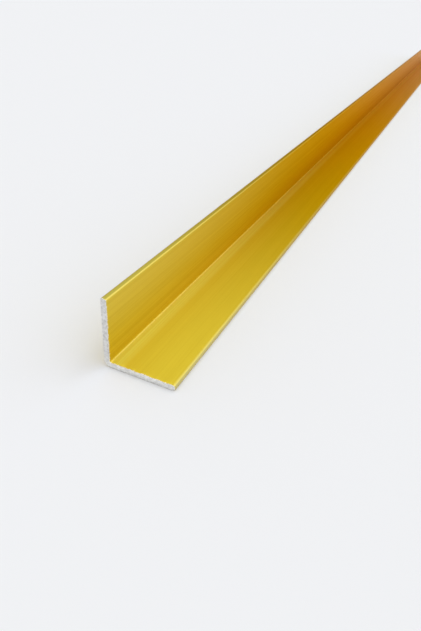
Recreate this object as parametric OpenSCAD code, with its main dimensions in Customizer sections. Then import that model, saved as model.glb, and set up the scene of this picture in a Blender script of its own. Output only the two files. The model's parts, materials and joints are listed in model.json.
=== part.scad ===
// Aluminium angle bar: an equal L section, extruded in one piece and sawn square at both ends.
// It lies on one leg. The origin is the middle of that leg's underside, +Y runs along the bar,
// +Z is up, and the other leg stands on the -X side.

/* [Section] */
// Width of the lying leg, measured over the heel
lying_leg = 25; // [15:0.5:60]
// Height of the standing leg, measured over the heel
standing_leg = 25; // [15:0.5:60]
// Thickness of both legs
wall = 2; // [1.5:0.1:5]

/* [Corners] */
// Radius of the fillet in the root, the inside corner where the legs meet
root_radius = 0.5; // [0.2:0.1:3]
// Radius of the heel, the outside corner where the legs meet
heel_radius = 2.5; // [0.2:0.1:3]
// Radius of a toe's edge on the inside of the angle
inner_toe_radius = 0.8; // [0.1:0.05:0.9]
// Radius of a toe's edge on the outside of the angle
outer_toe_radius = 0.4; // [0.1:0.05:0.5]

/* [Bar] */
// Length of the bar between its sawn ends
bar_length = 1000; // [100:10:3000]

/* [Hidden] */

// Number of segments in a drawn circle
$fn = 64;

// The sliver between a square corner at the origin, which opens towards +X and +Y, and its rounding
module corner_sliver(radius) {
    difference() {
        square(radius);
        translate([radius, radius]) circle(radius);
    }
}

// Outline of one leg along +X, square at the heel and rounded at the toe, with its outside face at Y 0
module leg_outline(leg) {
    difference() {
        square([leg, wall]);
        translate([leg, wall]) rotate(180) corner_sliver(inner_toe_radius);
        translate([leg, 0]) rotate(90) corner_sliver(outer_toe_radius);
    }
}

// The L section with its heel at the origin: the standing leg is a leg mirrored across the bisector
module angle_section() {
    difference() {
        union() {
            leg_outline(lying_leg);
            mirror([1, -1]) leg_outline(standing_leg);
            translate([wall, wall]) corner_sliver(root_radius);
        }
        corner_sliver(heel_radius);
    }
}

// The whole bar: the section swept along Y, lying on one leg
module angle_bar() {
    color("goldenrod")
        translate([-lying_leg / 2, 0, 0])
            rotate([90, 0, 0])
                linear_extrude(bar_length, center = true)
                    angle_section();
}

angle_bar();
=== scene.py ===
"""Gold anodised aluminium angle bar: the sawn length, its finish, its light and its camera."""

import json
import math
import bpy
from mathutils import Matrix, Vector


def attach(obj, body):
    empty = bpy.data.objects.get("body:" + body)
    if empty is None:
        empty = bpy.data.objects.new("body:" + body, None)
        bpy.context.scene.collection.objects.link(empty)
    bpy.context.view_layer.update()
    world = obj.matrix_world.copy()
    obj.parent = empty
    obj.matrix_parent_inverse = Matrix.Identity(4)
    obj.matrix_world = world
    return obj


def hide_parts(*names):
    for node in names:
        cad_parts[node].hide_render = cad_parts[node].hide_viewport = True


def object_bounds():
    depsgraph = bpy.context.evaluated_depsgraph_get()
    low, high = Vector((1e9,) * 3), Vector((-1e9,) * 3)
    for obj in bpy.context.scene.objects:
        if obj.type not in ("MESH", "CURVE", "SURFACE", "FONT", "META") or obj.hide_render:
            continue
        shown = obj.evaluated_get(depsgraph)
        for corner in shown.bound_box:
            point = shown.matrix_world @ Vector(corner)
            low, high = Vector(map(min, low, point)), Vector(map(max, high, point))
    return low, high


bl_info = {
    "name": "Angle Bar",
    "version": (1, 0, 0),
    "blender": (4, 5, 0),
    "location": "View3D > Sidebar > Angle Bar",
    "description": "Models a sawn length of gold anodised angle and sets the stage for its picture",
    "category": "Add Mesh",
}

import bmesh
import bpy
from bpy.props import FloatProperty, FloatVectorProperty, IntProperty, PointerProperty
from bpy.types import Operator, Panel, PropertyGroup
from mathutils import Quaternion, Vector, noise

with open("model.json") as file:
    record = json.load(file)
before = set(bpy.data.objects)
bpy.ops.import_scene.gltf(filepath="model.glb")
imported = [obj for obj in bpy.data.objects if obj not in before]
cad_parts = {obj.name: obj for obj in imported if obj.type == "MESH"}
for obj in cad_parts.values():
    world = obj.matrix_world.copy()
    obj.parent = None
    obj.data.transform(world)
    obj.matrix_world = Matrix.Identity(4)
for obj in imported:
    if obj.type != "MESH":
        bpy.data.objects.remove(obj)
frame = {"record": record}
CAD_LOW, CAD_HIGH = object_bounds()
MOUNT_PLACES = {mount["name"]: Vector(mount["pos_m"]) for mount in frame["record"]["mounts"]}

NODE = "angle_bar"
PIECE = "gold_angle_bar"

# The mesh is shaped in millimetres and scaled to metres at the end, because its bevels are so small
MM = 0.001

# Inside faces of the two legs
INSIDE_X = MOUNT_PLACES["standing_leg_inside"].x
INSIDE_Z = MOUNT_PLACES["lying_leg_inside"].z

# Slots of the two finishes, and names of the mesh's own layers
GOLD_FACES = 0
BARE_FACES = 1
GIRTH = "girth"
UV_MAP = "OFBake"

# Lean of a face's normal along the bar: below the first it shapes the long sides, above the second it
# is part of a cut
SIDE_LEAN = 0.5
CUT_LEAN = 0.7

# The two ends, by the sign of Y
NEAR_END = -1
FAR_END = 1

# Side that the saw blade came from at each end, in degrees from +X towards +Z
BLADE_SIDES = {NEAR_END: 128.0, FAR_END: -60.0}

# Layers of the die lines: fineness against their pitch, share of their height, place in the noise
DIE_LINE_LAYERS = (
    (0.35, 0.4, Vector((3.7, 0.0, 8.1))),
    (1.0, 0.4, Vector((11.3, 0.0, 2.9))),
    (3.1, 0.2, Vector((5.9, 0.0, 17.2))),
)

# Layers of noise along the edges of a cut: height, and fineness against the spots they are read at
GOLD_EDGE_LAYERS = ((2.2, 0.6), (1.5, 2.3))
WEAR_LAYERS = ((0.9, 0.8), (0.6, 2.9))
USUAL_WEAR = 0.35

# Rings of vertices round the bar, by their distance from an end: the first as a share of the bare
# reach, the last in millimetres
FIRST_RING = 0.3
LAST_RINGS = (2.0, 20.0, 150.0)

# Half the width of the floor, in metres
FLOOR_REACH = 30.0


def length(name, description, default):
    """A size in metres that a user can change."""
    return FloatProperty(
        name=name,
        description=description,
        default=default,
        min=0.0,
        precision=6,
        subtype="DISTANCE",
        unit="LENGTH",
    )


def share(name, description, default, low=0.0, high=1.0):
    """A plain number between two limits."""
    return FloatProperty(name=name, description=description, default=default, min=low, max=high)


def colour(name, description, default):
    """A linear colour."""
    return FloatVectorProperty(
        name=name, description=description, default=default, size=3, min=0.0, max=1.0, subtype="COLOR"
    )


def angle(name, description, degrees):
    """An angle, given in degrees and kept in radians."""
    return FloatProperty(
        name=name, description=description, default=math.radians(degrees), subtype="ANGLE", unit="ROTATION"
    )


class AngleBarSection(PropertyGroup):
    """Sizes of the extruded section."""

    lying_leg: length("Lying leg", "Width of the lying leg over the heel", CAD_HIGH.x - CAD_LOW.x)
    standing_leg: length("Standing leg", "Height of the standing leg over the heel", CAD_HIGH.z - CAD_LOW.z)
    bar_length: length("Length", "Length of the bar between its sawn ends", CAD_HIGH.y - CAD_LOW.y)
    wall: length("Wall", "Thickness of both legs", INSIDE_Z - CAD_LOW.z)
    root_radius: length("Root radius", "Fillet inside the angle", 0.5 * MM)
    heel_radius: length("Heel radius", "Rounding of the outside corner", 2.5 * MM)
    inner_toe_radius: length("Inner toe radius", "Rounding of a toe's inside edge", 0.8 * MM)
    outer_toe_radius: length("Outer toe radius", "Rounding of a toe's outside edge", 0.4 * MM)
    arc_segments: IntProperty(
        name="Arc segments", description="Facets in each rounded corner", default=8, min=2, max=32
    )
    die_line_depth: length("Die line depth", "Height of the lines that the die leaves", 0.003 * MM)
    die_line_pitch: length("Die line pitch", "Usual distance between two such lines", 0.9 * MM)


class AngleBarCut(PropertyGroup):
    """Sizes of the sawn ends."""

    cell: length("Cell", "Size of the mesh cells across a cut", 0.125 * MM)
    blade_radius: length("Blade radius", "Radius of the saw blade that left the marks", 125 * MM)
    mark_pitch: length("Mark pitch", "Usual distance between two saw marks", 0.9 * MM)
    mark_depth: length("Mark depth", "Depth of the saw marks", 0.03 * MM)
    edge_wear: length("Edge wear", "Metal lost along the inside edges of a cut", 0.16 * MM)
    bare_reach: length("Bare reach", "How far bare metal reaches round the edge of a cut", 0.38 * MM)
    rolled_edge: length("Rolled edge", "How far the edge that lies on the floor is rolled up", 0.22 * MM)
    roll_reach: length("Roll reach", "How far along the bar that roll reaches", 1.2 * MM)


class AngleBarFinish(PropertyGroup):
    """Colours and gloss of the two finishes."""

    gold: colour("Gold", "Colour of the anodised layer", (0.81, 0.645, 0.052))
    # Also the painted shade low on the standing leg's inside, by the root.
    deep_gold_and_root_shade: colour("Deep gold", "Colour of its darker lines", (0.69, 0.505, 0.022))
    pale_gold: colour("Pale gold", "Colour of the band beside the root", (0.87, 0.805, 0.125))
    # Painted light: the standing leg's inside lighter towards its toe.
    upper_light_gold: colour("Upper gold", "Inside of the standing leg, near its toe", (0.80, 0.65, 0.125))
    # Painted highlight on the lying toe's inner arris.
    toe_highlight_gold: colour("Edge gold", "Colour of the lying toe's inner arris", (0.85, 0.73, 0.18))
    # Painted highlight along the root line and the upper toe's inner arris.
    arris_highlight_gold: colour("Arris gold", "Root line and upper toe's inner arris", (0.96, 0.79, 0.18))
    # Painted reflection of the floor on the lying toe's flat: paler and greyer.
    tip_reflection_gold: colour("Tip gold", "Colour of the lying toe's flat", (0.69, 0.64, 0.26))
    # Painted shade: the upper toe's flat darker and greyer than the rest of the layer.
    upper_flat_shade_gold: colour("Dull gold", "Colour of the upper toe's flat, rubbed dull", (0.57, 0.50, 0.095))
    # Painted shade: a dark line along both toes' outer arrises.
    rim_shade_gold: colour("Rim gold", "Colour of both toes' outer arrises", (0.40, 0.32, 0.075))
    grazing_gold: colour("Grazing gold", "Tint of the layer seen at a low angle", (1.0, 0.53, 0.24))
    gold_roughness: share("Gold roughness", "Roughness of the satin layer", 0.40)
    gold_grain: share("Gold grain", "How much rougher the layer is across the die lines", 1.0)
    bare: colour("Bare metal", "Colour of the sawn aluminium", (0.95, 0.945, 0.92))
    # The bare edge is real; its cream tint is a painted reflection of the gold beside it.
    torn: colour("Torn edge", "Colour of the bare edges round a cut", (0.95, 0.93, 0.86))
    # Also the painted shade over the standing leg's cut.
    bare_patches_and_shade: colour("Shaded metal", "Colour of its duller patches", (0.615, 0.612, 0.598))
    bare_roughness: share("Bare roughness", "Roughness of the sawn face", 0.46)


class AngleBarStage(PropertyGroup):
    """Floor, light and camera."""

    floor: colour("Floor", "Colour of the floor", (0.874, 0.882, 0.900))
    sky: colour("Sky", "Light from overhead", (0.99, 0.995, 1.0))
    left: colour("Left", "Light from low down on the left", (0.70, 0.70, 0.70))
    right: colour("Right", "Light from low down on the right", (0.86, 0.86, 0.86))
    back: colour("Back", "Light from behind the bar", (0.645, 0.625, 0.615))
    sky_strength: share("Sky strength", "Strength of the light from all round", 0.94, 0.0, 5.0)
    key_strength: share("Key strength", "Strength of the soft light from above and behind", 0.35, 0.0, 10.0)
    key_width: angle("Key width", "Angle that this light spans", 55.0)
    key_azimuth: angle("Key azimuth", "Side that both lights come from, from +Y towards +X", 32.0)
    key_elevation: angle("Key elevation", "Height of this light over the floor", 48.0)
    core_strength: share("Core strength", "Strength of the narrow light on the same side", 0.13, 0.0, 10.0)
    core_width: angle("Core width", "Angle that this light spans", 14.0)
    core_elevation: angle("Core elevation", "Height of this light over the floor", 60.0)
    camera_right: length("Camera right", "Distance of the camera to the right of the heel", 77.535 * MM)
    camera_back: length("Camera back", "Distance of the camera in front of the near end", 102.235 * MM)
    camera_up: length("Camera up", "Height of the camera over the floor", 104.558 * MM)
    camera_azimuth: angle("Camera azimuth", "Turn of the view from +Y towards -X", 22.6978)
    camera_elevation: angle("Camera elevation", "Tilt of the view below the horizon", 33.6737)
    camera_roll: angle("Camera roll", "Turn of the camera about its view", 4.2447)
    lens: FloatProperty(
        name="Lens",
        description="Focal length on a 36 mm frame",
        default=29.2405,
        min=1.0,
        subtype="DISTANCE_CAMERA",
    )


class AngleBarSettings(PropertyGroup):
    """Everything that a user can change."""

    section: PointerProperty(type=AngleBarSection)
    cut: PointerProperty(type=AngleBarCut)
    finish: PointerProperty(type=AngleBarFinish)
    stage: PointerProperty(type=AngleBarStage)


# Shaping the bar


def everything(bm):
    """All the geometry of a bmesh, as the slicing operator takes it."""
    return bm.verts[:] + bm.edges[:] + bm.faces[:]


def draw_section(bm, section, low, high):
    """One face in the plane of the near end: the L outline with its corners rounded."""
    wall = section.wall / MM
    corners = (
        (low.x, low.z, section.heel_radius),
        (high.x, low.z, section.outer_toe_radius),
        (high.x, low.z + wall, section.inner_toe_radius),
        (low.x + wall, low.z + wall, section.root_radius),
        (low.x + wall, high.z, section.inner_toe_radius),
        (low.x, high.z, section.outer_toe_radius),
    )
    verts = [bm.verts.new((x, low.y, z)) for x, z, _ in corners]
    bm.faces.new(verts)
    for vert, (_, _, radius) in zip(verts, corners):
        bmesh.ops.bevel(
            bm,
            geom=[vert],
            offset=radius / MM,
            offset_type="OFFSET",
            segments=section.arc_segments,
            profile=0.5,
            affect="VERTICES",
            material=-1,
            clamp_overlap=False,
        )


def slice_across(bm, axis, places):
    """Cuts the whole mesh at each place along one axis."""
    snap = 0.0001
    normal = Vector((0.0, 0.0, 0.0))
    normal[axis] = 1.0
    for place in places:
        bmesh.ops.bisect_plane(
            bm, geom=everything(bm), dist=snap, plane_co=normal * place, plane_no=normal
        )


def grid_places(low, high, cell):
    """Evenly spaced places between two limits, about a cell apart."""
    count = round((high - low) / cell)
    return [low + (high - low) * i / count for i in range(1, count)]


def ring_places(cut, low, high):
    """Places along the bar for rings of vertices, close together near both ends."""
    reach = cut.bare_reach / MM
    steps = [FIRST_RING * reach, reach, cut.roll_reach / MM, *LAST_RINGS]
    return [low.y + step for step in steps] + [high.y - step for step in steps]


def mark_girth(bm):
    """Notes how far round the outline each vertex lies from the heel, and returns the whole way."""
    layer = bm.verts.layers.float.new(GIRTH)
    rim = [vert for vert in bm.verts if vert.is_boundary]
    here = min(rim, key=lambda vert: vert.co.x + vert.co.z)
    beside = [edge for edge in here.link_edges if edge.is_boundary]
    edge = max(beside, key=lambda item: item.other_vert(here).co.x)
    way = 0.0
    for _ in rim:
        here[layer] = way
        way += edge.calc_length()
        here = edge.other_vert(here)
        edge = next(item for item in here.link_edges if item.is_boundary and item is not edge)
    return way


def sweep_section(bm, low, high):
    """Pulls the section along the bar, which leaves a cap of small cells at each end."""
    swept = bmesh.ops.extrude_face_region(bm, geom=bm.faces[:])["geom"]
    moved = [item for item in swept if isinstance(item, bmesh.types.BMVert)]
    bmesh.ops.translate(bm, vec=(0.0, high.y - low.y, 0.0), verts=moved)
    bmesh.ops.recalc_face_normals(bm, faces=bm.faces[:])


def side_normal(vert):
    """Direction out of the bar's long faces at a vertex, or None inside a cap."""
    sides = [face.normal for face in vert.link_faces if abs(face.normal.y) < SIDE_LEAN]
    if not sides:
        return None
    return sum(sides, Vector()).normalized()


def die_lines(place, pitch):
    """Height of the die lines, from -1 to 1: the same at every place along the bar."""
    across = Vector((place.x, 0.0, place.z)) / pitch
    height = 0.0
    for fineness, weight, offset in DIE_LINE_LAYERS:
        height += weight * noise.noise(across * fineness + offset)
    return height


def saw_marks(place, end, cut):
    """Depth of the saw marks, from 0 to 1: arcs about the blade's centre, of uneven width and depth."""
    coarse_drift = 0.12
    fine_drift = 0.2
    fineness = 2.7
    tear_scale = 0.9
    coarse_offset = 4.1 * end
    fine_offset = 9.3 * end
    tear_offset = 6.0 * end
    blade = cut.blade_radius / MM
    pitch = cut.mark_pitch / MM
    side = math.radians(BLADE_SIDES[end])
    centre_x = blade * math.cos(side)
    centre_z = blade * math.sin(side)
    reach = math.hypot(place.x - centre_x, place.z - centre_z)
    along = math.atan2(place.z - centre_z, place.x - centre_x) * blade
    coarse = noise.noise(Vector((reach / pitch, along * coarse_drift, coarse_offset)))
    fine = noise.noise(Vector((fineness * reach / pitch, along * fine_drift, fine_offset)))
    torn = noise.noise(Vector((place.x * tear_scale, tear_offset, place.z * tear_scale)))
    return min(1.0, max(0.0, 0.5 + 0.5 * coarse + 0.25 * fine + 0.35 * torn))


def layered_noise(spot, layers, level=0.0):
    """A level with layers of noise added to it."""
    for height, fineness in layers:
        level += height * noise.noise(spot * fineness)
    return level


def ragged_edge(spot):
    """How far the edge of the gold wanders along the bar, as a share of the bare reach."""
    towards_cut = -0.6
    away_from_cut = 1.2
    return min(away_from_cut, max(towards_cut, layered_noise(spot, GOLD_EDGE_LAYERS)))


def worn_away(spot):
    """How much is worn off an inside edge, as a share of the edge wear."""
    return max(0.0, layered_noise(spot, WEAR_LAYERS, USUAL_WEAR))


def shape_long_faces(bm, section):
    """Presses the die lines into the bar's long faces."""
    depth = section.die_line_depth / MM
    pitch = section.die_line_pitch / MM
    moves = [(vert, side_normal(vert)) for vert in bm.verts]
    for vert, outward in moves:
        if outward:
            vert.co += outward * depth * (die_lines(vert.co, pitch) - 1.0)


def shape_end(bm, cut, low, high, end):
    """Saws one end: its marks, the gold's ragged edge, the wear on the inside and the roll below."""
    on_the_cut = 0.001
    spot_scale = 1.3
    spot_offset = 7.0 * end
    end_y = low.y if end == NEAR_END else high.y
    inward = -end
    reach = cut.bare_reach / MM
    roll = cut.roll_reach / MM
    near = [vert for vert in bm.verts if abs(vert.co.y - end_y) < max(1.5 * reach, roll)]
    outward_of = {vert: side_normal(vert) for vert in near}
    for vert in near:
        outward = outward_of[vert]
        place = vert.co.copy()
        from_end = abs(place.y - end_y)
        spot = Vector((place.x * spot_scale, spot_offset, place.z * spot_scale))
        if from_end < on_the_cut:
            vert.co.y += inward * saw_marks(place, end, cut) * cut.mark_depth / MM
        if outward is None:
            continue
        if 0.5 * reach < from_end < 1.5 * reach:
            vert.co.y += inward * reach * ragged_edge(spot)
        inside = max(outward.x, outward.z, 0.0)
        under = max(0.0, -outward.z)
        fade = max(0.0, 1.0 - from_end / reach)
        sideways = Vector((outward.x, 0.0, outward.z))
        vert.co -= sideways * inside * fade * worn_away(spot) * cut.edge_wear / MM
        vert.co.z += under * max(0.0, 1.0 - from_end / roll) * cut.rolled_edge / MM
        vert.co.x = min(high.x, max(low.x, vert.co.x))
        vert.co.z = min(high.z, max(low.z, vert.co.z))


def paint_faces(bm, cut, low, high):
    """Gold on the long faces, bare metal on the cuts and round their edges, and a crease round each cut."""
    bare_share = 0.7
    reach = cut.bare_reach / MM
    for face in bm.faces:
        face.smooth = True
        middle = face.calc_center_median().y
        from_end = min(middle - low.y, high.y - middle)
        face.material_index = BARE_FACES if from_end < bare_share * reach else GOLD_FACES
    for edge in bm.edges:
        leans = [abs(face.normal.y) for face in edge.link_faces]
        edge.smooth = not (max(leans) > CUT_LEAN and min(leans) < CUT_LEAN)


def place_along(y, low, high):
    """Place on the map along the bar, from 0 to 1, with more room towards the ends."""
    ends_widened = 0.4
    half = (high.y - low.y) / 2
    from_end = max(0.0, half - abs(y - low.y - half)) / half
    near = from_end ** ends_widened / 2
    return near if y < low.y + half else 1.0 - near


def lay_map(bm, girth, low, high):
    """One map for the whole bar: its long faces unrolled, and both cuts flat above them."""
    margin = 0.004
    side_share = 0.78
    cap_share = 0.19
    near_cap_left = 0.05
    far_cap_left = 0.35
    layer = bm.verts.layers.float[GIRTH]
    uv = bm.loops.layers.uv.new(UV_MAP)
    width = high.x - low.x
    height = high.z - low.z
    for face in bm.faces:
        if abs(face.normal.y) > CUT_LEAN:
            left = near_cap_left if face.normal.y < 0.0 else far_cap_left
            for loop in face.loops:
                place = loop.vert.co
                across = (place.x - low.x) / width
                up = (place.z - low.z) / height
                loop[uv].uv = (left + cap_share * across, 1.0 - margin - cap_share * (1.0 - up))
            continue
        ways = [loop.vert[layer] / girth for loop in face.loops]
        over_seam = max(ways) - min(ways) > 0.5
        for loop, way in zip(face.loops, ways):
            round_it = way + 1.0 if over_seam and way < 0.5 else way
            along = place_along(loop.vert.co.y, low, high)
            loop[uv].uv = (margin + (1.0 - 2.0 * margin) * round_it, margin + side_share * along)


def shape_bar(settings):
    """The whole bar as a bmesh in metres, in the frame of the part."""
    section = settings.section
    cut = settings.cut
    foot = Vector(((CAD_LOW.x + CAD_HIGH.x) / 2, (CAD_LOW.y + CAD_HIGH.y) / 2, CAD_LOW.z)) / MM
    half = Vector((section.lying_leg, section.bar_length, 0.0)) / (2 * MM)
    low = foot - half
    high = foot + half + Vector((0.0, 0.0, section.standing_leg / MM))
    bm = bmesh.new()
    draw_section(bm, section, low, high)
    slice_across(bm, 0, grid_places(low.x, high.x, cut.cell / MM))
    slice_across(bm, 2, grid_places(low.z, high.z, cut.cell / MM))
    girth = mark_girth(bm)
    sweep_section(bm, low, high)
    slice_across(bm, 1, ring_places(cut, low, high))
    shape_long_faces(bm, section)
    for end in (NEAR_END, FAR_END):
        shape_end(bm, cut, low, high, end)
    paint_faces(bm, cut, low, high)
    lay_map(bm, girth, low, high)
    bmesh.ops.scale(bm, vec=(MM, MM, MM), verts=bm.verts[:])
    return bm


# Finishes


class NodeSheet:
    """A material's or the world's nodes, added one call at a time."""

    def __init__(self, owner):
        owner.use_nodes = True
        self.tree = owner.node_tree
        self.tree.nodes.clear()

    def feed(self, socket, value):
        """Links another node's output to a socket, or sets a plain value on it."""
        if isinstance(value, bpy.types.NodeSocket):
            self.tree.links.new(value, socket)
        else:
            socket.default_value = value

    def add(self, kind, inputs=None, **settings):
        """Adds a node with its settings, and feeds its inputs."""
        node = self.tree.nodes.new(kind)
        for name, value in settings.items():
            setattr(node, name, value)
        for name, value in (inputs or {}).items():
            self.feed(node.inputs[name], value)
        return node

    def split(self, vector):
        """The X, Y and Z of a vector."""
        return self.add("ShaderNodeSeparateXYZ", {"Vector": vector}).outputs

    def place(self):
        """Object coordinates."""
        return self.add("ShaderNodeTexCoord").outputs["Object"]

    def stretched(self, scale):
        """Object coordinates, scaled along each axis."""
        return self.add("ShaderNodeMapping", {"Vector": self.place(), "Scale": scale}).outputs["Vector"]

    def speckle(self, vector, scale, detail=2.0, roughness=0.5):
        """A noise pattern from 0 to 1."""
        values = {"Vector": vector, "Scale": scale, "Detail": detail, "Roughness": roughness}
        return self.add("ShaderNodeTexNoise", values).outputs["Fac"]

    def span(self, value, low, high, new_low, new_high):
        """A value moved from one range to another, and kept inside it."""
        ends = {"Value": value, "From Min": low, "From Max": high, "To Min": new_low, "To Max": new_high}
        return self.add("ShaderNodeMapRange", ends).outputs["Result"]

    def rise(self, value, start, end, most=1.0):
        """0 up to the start, and the most from the end on."""
        return self.span(value, start, end, 0.0, most)

    def fall(self, value, start, end, most=1.0):
        """The most up to the start, and 0 from the end on."""
        return self.span(value, start, end, most, 0.0)

    def maths(self, operation, first, second=0.0):
        """One step of arithmetic."""
        return self.add("ShaderNodeMath", {0: first, 1: second}, operation=operation).outputs["Value"]

    def product(self, first, *others):
        """All the values multiplied."""
        for other in others:
            first = self.maths("MULTIPLY", first, other)
        return first

    def weighted(self, *parts):
        """The sum of some values, each times its own weight."""
        terms = [self.product(value, weight) for value, weight in parts]
        total = terms[0]
        for term in terms[1:]:
            total = self.maths("ADD", total, term)
        return total

    def blend(self, amount, first, second):
        """A mix of two colours, by the sockets that a mixing node has for colours."""
        factor_in, first_in, second_in, colour_out = 0, 6, 7, 2
        node = self.add("ShaderNodeMix", data_type="RGBA")
        self.feed(node.inputs[factor_in], amount)
        self.feed(node.inputs[first_in], first)
        self.feed(node.inputs[second_in], second)
        return node.outputs[colour_out]


def opaque(rgb):
    """A colour with full alpha."""
    return (*rgb, 1.0)


class PlaceMasks:
    """Values from 0 to 1 that single out a part of the section, whatever the place along the bar."""

    def __init__(self, sheet):
        parts = sheet.split(sheet.place())
        self.mark_lying_leg(sheet, parts["X"], parts["Z"])
        self.mark_standing_leg(sheet, parts["X"], parts["Z"])
        self.mark_lying_toe(sheet, parts["X"], parts["Z"])
        self.mark_upper_toe(sheet, parts["X"], parts["Z"])

    def mark_lying_leg(self, sheet, x, z):
        """The lying leg's inside away from the root, the band beside the root and the root line's painted
        highlight.
        """
        above = sheet.rise(z, INSIDE_Z - 0.8 * MM, INSIDE_Z - 0.4 * MM)
        below = sheet.fall(z, INSIDE_Z + 0.2 * MM, INSIDE_Z + 0.6 * MM)
        on_face = sheet.product(below, above)
        past_root = sheet.rise(x, INSIDE_X, INSIDE_X + 0.6 * MM)
        band_fades = (INSIDE_X + 3.5 * MM, INSIDE_X + 5.5 * MM)
        near_root = sheet.fall(x, *band_fades)
        past_band = sheet.rise(x, *band_fades)
        self.lying_inside = sheet.product(past_band, on_face)
        self.beside_root = sheet.product(near_root, past_root, on_face)
        # Painted highlight along the root line.
        entering = sheet.rise(x, INSIDE_X + 0.1 * MM, INSIDE_X + 0.25 * MM)
        leaving = sheet.fall(x, INSIDE_X + 0.45 * MM, INSIDE_X + 0.65 * MM, 0.85)
        self.root_highlight = sheet.product(entering, leaving, on_face)

    def mark_standing_leg(self, sheet, x, z):
        """The standing leg's inside, its lower part, darkened by painted shade, and its upper part,
        lightened by painted light.
        """
        entering = sheet.rise(x, INSIDE_X - 0.4 * MM, INSIDE_X - 0.2 * MM)
        leaving = sheet.fall(x, INSIDE_X + 0.2 * MM, INSIDE_X + 0.5 * MM)
        # Painted shade: the standing leg darker towards the root.
        foot = sheet.fall(z, INSIDE_Z, INSIDE_Z + 10.0 * MM)
        # Painted light: the standing leg lighter towards its toe.
        upper = sheet.rise(z, INSIDE_Z + 8.0 * MM, CAD_HIGH.z - 3.0 * MM, 0.5)
        self.standing_inside = sheet.product(entering, leaving)
        self.standing_root_shade = sheet.product(self.standing_inside, foot)
        self.standing_upper_light = sheet.product(self.standing_inside, upper)

    def mark_lying_toe(self, sheet, x, z):
        """The lying toe's inner arris with a painted highlight, its flat with a painted reflection, and its
        outer arris with painted shade.
        """
        # Painted highlight on the lying toe's inner arris.
        self.lying_toe_highlight = sheet.rise(x, CAD_HIGH.x - 1.0 * MM, CAD_HIGH.x - 0.25 * MM)
        # Painted reflection on the lying toe's flat.
        self.lying_tip_reflection = sheet.rise(x, CAD_HIGH.x - 0.22 * MM, CAD_HIGH.x - 0.08 * MM)
        # Painted shade along the lying toe's lower outer arris.
        bottom = sheet.fall(z, CAD_LOW.z + 0.2 * MM, CAD_LOW.z + 0.5 * MM, 0.7)
        self.lying_rim_shade = sheet.product(self.lying_tip_reflection, bottom)

    def mark_upper_toe(self, sheet, x, z):
        """The upper toe's inner arris with a painted highlight, its flat with painted shade, and its outer
        arris with painted shade.
        """
        crown = sheet.rise(z, CAD_HIGH.z - 0.5 * MM, CAD_HIGH.z - 0.3 * MM)
        inner = sheet.rise(x, INSIDE_X - 0.5 * MM, INSIDE_X - 0.3 * MM)
        outer = sheet.fall(x, CAD_LOW.x + 0.3 * MM, CAD_LOW.x + 0.45 * MM)
        # Painted highlight on the upper toe's inner arris.
        self.upper_arris_highlight = sheet.product(crown, inner)
        # Painted shade on the upper toe's flat.
        self.upper_flat_shade = sheet.maths("SUBTRACT", crown, self.upper_arris_highlight)
        # Painted shade along the upper toe's outer arris.
        self.upper_rim_shade = sheet.product(crown, outer)


def gold_tone(sheet, finish, lines, streaks):
    """Colour of the anodised layer: streaks along the bar, and painted light and shade by the root, on the
    standing leg and on the toes.
    """
    usual_share = 0.5
    standing_share = 0.8
    lying_share = 0.5
    deepest = 0.9
    root_shade_depth = 0.6
    masks = PlaceMasks(sheet)
    clear = sheet.span(masks.standing_inside, 0.0, 1.0, usual_share, standing_share)
    calm = sheet.span(masks.lying_inside, 0.0, 1.0, 1.0, lying_share)
    depth = sheet.product(sheet.rise(streaks, 0.41, 0.60, deepest), sheet.product(clear, calm))
    # Painted shade darkens the standing leg's inside towards the root.
    depth = sheet.maths("ADD", depth, sheet.product(masks.standing_root_shade, root_shade_depth))
    pale = sheet.product(masks.beside_root, sheet.span(lines, 0.38, 0.6, 0.5, 0.95))
    # Painted shade along both toes' outer arrises.
    rim = sheet.maths("MAXIMUM", masks.upper_rim_shade, masks.lying_rim_shade)
    tone = opaque(finish.gold)
    for amount, rgb in (
        (depth, finish.deep_gold_and_root_shade),
        (masks.standing_upper_light, finish.upper_light_gold),
        (pale, finish.pale_gold),
        (masks.root_highlight, finish.arris_highlight_gold),
        (masks.lying_toe_highlight, finish.toe_highlight_gold),
        (masks.lying_tip_reflection, finish.tip_reflection_gold),
        (masks.upper_arris_highlight, finish.arris_highlight_gold),
        (masks.upper_flat_shade, finish.upper_flat_shade_gold),
        (rim, finish.rim_shade_gold),
    ):
        tone = sheet.blend(amount, tone, opaque(rgb))
    return tone


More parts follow.
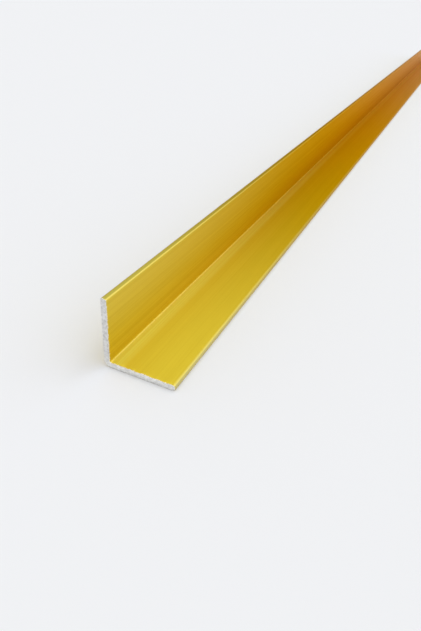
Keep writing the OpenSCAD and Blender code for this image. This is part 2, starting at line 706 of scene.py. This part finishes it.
def gold_anodising(finish):
    """Satin gold anodising, with the lines of the die along the bar."""
    line_scale = 2200.0
    band_scale = 520.0
    brush_scale = 4200.0
    grain_scale = 9000.0
    roughness_spread = 0.06
    bump_height = 0.02 * MM
    material = bpy.data.materials.new("gold_anodising")
    sheet = NodeSheet(material)
    drawn_out = sheet.stretched((1.0, 0.004, 1.0))
    lines = sheet.speckle(drawn_out, line_scale)
    bands = sheet.speckle(drawn_out, band_scale)
    brush = sheet.speckle(sheet.stretched((1.0, 0.01, 1.0)), brush_scale, roughness=0.6)
    grain = sheet.speckle(sheet.stretched((1.0, 0.08, 1.0)), grain_scale)
    streaks = sheet.weighted((lines, 0.3), (brush, 0.3), (bands, 0.4))
    relief = sheet.weighted((lines, 0.75), (grain, 0.25))
    smoothest = finish.gold_roughness - roughness_spread
    roughest = finish.gold_roughness + roughness_spread
    bump = sheet.add("ShaderNodeBump", {"Height": relief, "Strength": 0.2, "Distance": bump_height})
    across = sheet.add("ShaderNodeTangent", direction_type="UV_MAP", uv_map=UV_MAP)
    surface = sheet.add(
        "ShaderNodeBsdfPrincipled",
        {
            "Base Color": gold_tone(sheet, finish, lines, streaks),
            "Metallic": 1.0,
            "Roughness": sheet.span(streaks, 0.3, 0.7, smoothest, roughest),
            "Anisotropic": finish.gold_grain,
            "Specular Tint": opaque(finish.grazing_gold),
            "Normal": bump.outputs["Normal"],
            "Tangent": across.outputs["Tangent"],
        },
    )
    sheet.add("ShaderNodeOutputMaterial", {"Surface": surface.outputs["BSDF"]})
    return material


def sawn_metal(finish):
    """Bare aluminium as a saw leaves it: bright marks and duller patches, and painted shade over the
    standing leg's cut.
    """
    patch_scale = 900.0
    scratch_scale = 3200.0
    deepest_patch = 0.7
    standing_shade = 0.42
    roughness_spread = 0.1
    torn_roughness = 0.8
    bump_height = 0.03 * MM
    material = bpy.data.materials.new("sawn_metal")
    sheet = NodeSheet(material)
    patches = sheet.speckle(sheet.place(), patch_scale, 3.0, 0.6)
    scratches = sheet.speckle(sheet.stretched((1.0, 1.0, 0.35)), scratch_scale)
    parts = sheet.split(sheet.place())
    # Painted shade: the standing leg's cut darker than the lying leg's.
    upright_shade = sheet.rise(parts["Z"], 1.5 * MM, 5.0 * MM, standing_shade)
    shade = sheet.maths("ADD", sheet.rise(patches, 0.38, 0.68, deepest_patch), upright_shade)
    from_middle = sheet.maths("ABSOLUTE", parts["Y"])
    # The bare band round each cut: rougher, and tinted cream as a painted reflection of the gold.
    round_edge_and_reflection = sheet.fall(from_middle, CAD_HIGH.y - 0.08 * MM, CAD_HIGH.y - 0.04 * MM)
    tone = sheet.blend(shade, opaque(finish.bare), opaque(finish.bare_patches_and_shade))
    tone = sheet.blend(round_edge_and_reflection, tone, opaque(finish.torn))
    smoothest = finish.bare_roughness - roughness_spread
    roughest = finish.bare_roughness + roughness_spread
    rough = sheet.span(patches, 0.3, 0.7, smoothest, roughest)
    rough = sheet.maths("MAXIMUM", rough, sheet.product(round_edge_and_reflection, torn_roughness))
    bump = sheet.add("ShaderNodeBump", {"Height": scratches, "Strength": 0.35, "Distance": bump_height})
    surface = sheet.add(
        "ShaderNodeBsdfPrincipled",
        {"Base Color": tone, "Metallic": 1.0, "Roughness": rough, "Normal": bump.outputs["Normal"]},
    )
    sheet.add("ShaderNodeOutputMaterial", {"Surface": surface.outputs["BSDF"]})
    return material


def floor_paint(stage):
    """A plain pale floor."""
    material = bpy.data.materials.new("floor_paint")
    sheet = NodeSheet(material)
    surface = sheet.add("ShaderNodeBsdfDiffuse", {"Color": opaque(stage.floor)})
    sheet.add("ShaderNodeOutputMaterial", {"Surface": surface.outputs["BSDF"]})
    return material


def studio_light(stage):
    """Light from all round: brightest overhead, dimmer low down on the left and behind the bar."""
    world = bpy.data.worlds.new("studio_light")
    bpy.context.scene.world = world
    sheet = NodeSheet(world)
    parts = sheet.split(sheet.add("ShaderNodeTexCoord").outputs["Generated"])
    overhead = sheet.rise(parts["Z"], 0.0, 0.75)
    behind = sheet.rise(parts["Y"], 0.74, 0.94)
    rightwards = sheet.rise(parts["X"], -0.7, 0.7)
    light = sheet.blend(rightwards, opaque(stage.left), opaque(stage.right))
    light = sheet.blend(overhead, light, opaque(stage.sky))
    light = sheet.blend(behind, light, opaque(stage.back))
    lit = sheet.add("ShaderNodeBackground", {"Color": light, "Strength": stage.sky_strength})
    sheet.add("ShaderNodeOutputWorld", {"Surface": lit.outputs["Background"]})


# Objects


def add_object(name, data):
    """A new object at the origin."""
    made = bpy.data.objects.new(name, data)
    bpy.context.scene.collection.objects.link(made)
    return made


def add_mesh(name, bm, materials):
    """A bmesh as an object, with its materials in slots."""
    mesh = bpy.data.meshes.new(name)
    bm.to_mesh(mesh)
    bm.free()
    for material in materials:
        mesh.materials.append(material)
    return add_object(name, mesh)


def direction(azimuth, elevation):
    """A unit vector: azimuth from +Y towards +X, elevation above the floor."""
    flat = math.cos(elevation)
    return Vector((math.sin(azimuth) * flat, math.cos(azimuth) * flat, math.sin(elevation)))


class ANGLEBAR_OT_bar(Operator):
    """Models the sawn bar and gives it its two finishes"""

    bl_idname = "angle_bar.bar"
    bl_label = "Angle bar"

    def execute(self, context):
        settings = context.scene.angle_bar
        finishes = [gold_anodising(settings.finish), sawn_metal(settings.finish)]
        bar = add_mesh(PIECE, shape_bar(settings), finishes)
        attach(bar, "root")
        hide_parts(NODE)
        return {"FINISHED"}


class ANGLEBAR_OT_stage(Operator):
    """Lays the floor, sets the light and places the camera"""

    bl_idname = "angle_bar.stage"
    bl_label = "Stage"

    def execute(self, context):
        stage = context.scene.angle_bar.stage
        context.scene.view_settings.view_transform = "Standard"
        studio_light(stage)
        self.lay_floor(stage)
        side = stage.key_azimuth
        self.hang_light("key_light", stage.key_strength, stage.key_width, side, stage.key_elevation)
        self.hang_light("core_light", stage.core_strength, stage.core_width, side, stage.core_elevation)
        self.place_camera(context, stage)
        return {"FINISHED"}

    def lay_floor(self, stage):
        """A wide floor, level with the underside of the bar."""
        bm = bmesh.new()
        bmesh.ops.create_grid(bm, x_segments=1, y_segments=1, size=FLOOR_REACH)
        bmesh.ops.translate(bm, vec=(0.0, 0.0, CAD_LOW.z), verts=bm.verts[:])
        add_mesh("floor", bm, [floor_paint(stage)])

    def hang_light(self, name, strength, width, azimuth, elevation):
        """A distant light that spans some angle of the sky."""
        lamp = bpy.data.lights.new(name, "SUN")
        lamp.energy = strength
        lamp.angle = width
        light = add_object(name, lamp)
        towards = direction(azimuth, elevation)
        light.location = towards
        light.rotation_mode = "QUATERNION"
        light.rotation_quaternion = towards.to_track_quat("Z", "Y")

    def place_camera(self, context, stage):
        """The camera at the photograph's viewing angle, placed from the heel's near end."""
        data = bpy.data.cameras.new("camera")
        data.lens = stage.lens
        data.clip_start = MM
        camera = add_object("camera", data)
        heel = Vector((CAD_LOW.x, CAD_LOW.y, CAD_LOW.z))
        camera.location = heel + Vector((stage.camera_right, -stage.camera_back, stage.camera_up))
        view = direction(-stage.camera_azimuth, -stage.camera_elevation)
        level = view.to_track_quat("-Z", "Y")
        camera.rotation_mode = "QUATERNION"
        camera.rotation_quaternion = level @ Quaternion((0.0, 0.0, 1.0), stage.camera_roll)
        context.scene.camera = camera


class ANGLEBAR_PT_panel(Panel):
    """Lists the two steps, each with what a user can change"""

    bl_idname = "ANGLEBAR_PT_panel"
    bl_label = "Angle Bar"
    bl_space_type = "VIEW_3D"
    bl_region_type = "UI"
    bl_category = "Angle Bar"

    def draw(self, context):
        settings = context.scene.angle_bar
        for operator, groups in (
            (ANGLEBAR_OT_bar, (settings.section, settings.cut, settings.finish)),
            (ANGLEBAR_OT_stage, (settings.stage,)),
        ):
            box = self.layout.box()
            box.operator(operator.bl_idname)
            for group in groups:
                for name in group.__annotations__:
                    box.prop(group, name)


CLASSES = (
    AngleBarSection,
    AngleBarCut,
    AngleBarFinish,
    AngleBarStage,
    AngleBarSettings,
    ANGLEBAR_OT_bar,
    ANGLEBAR_OT_stage,
    ANGLEBAR_PT_panel,
)


def register():
    """Makes the classes known to Blender and gives the scene its settings."""
    for item in CLASSES:
        bpy.utils.register_class(item)
    bpy.types.Scene.angle_bar = PointerProperty(type=AngleBarSettings)


def unregister():
    """Takes the settings and the classes away again."""
    del bpy.types.Scene.angle_bar
    for item in reversed(CLASSES):
        bpy.utils.unregister_class(item)


def main():
    """Builds the bar and its stage."""
    register()
    bpy.ops.angle_bar.bar()
    bpy.ops.angle_bar.stage()


if __name__ == "__main__":
    main()
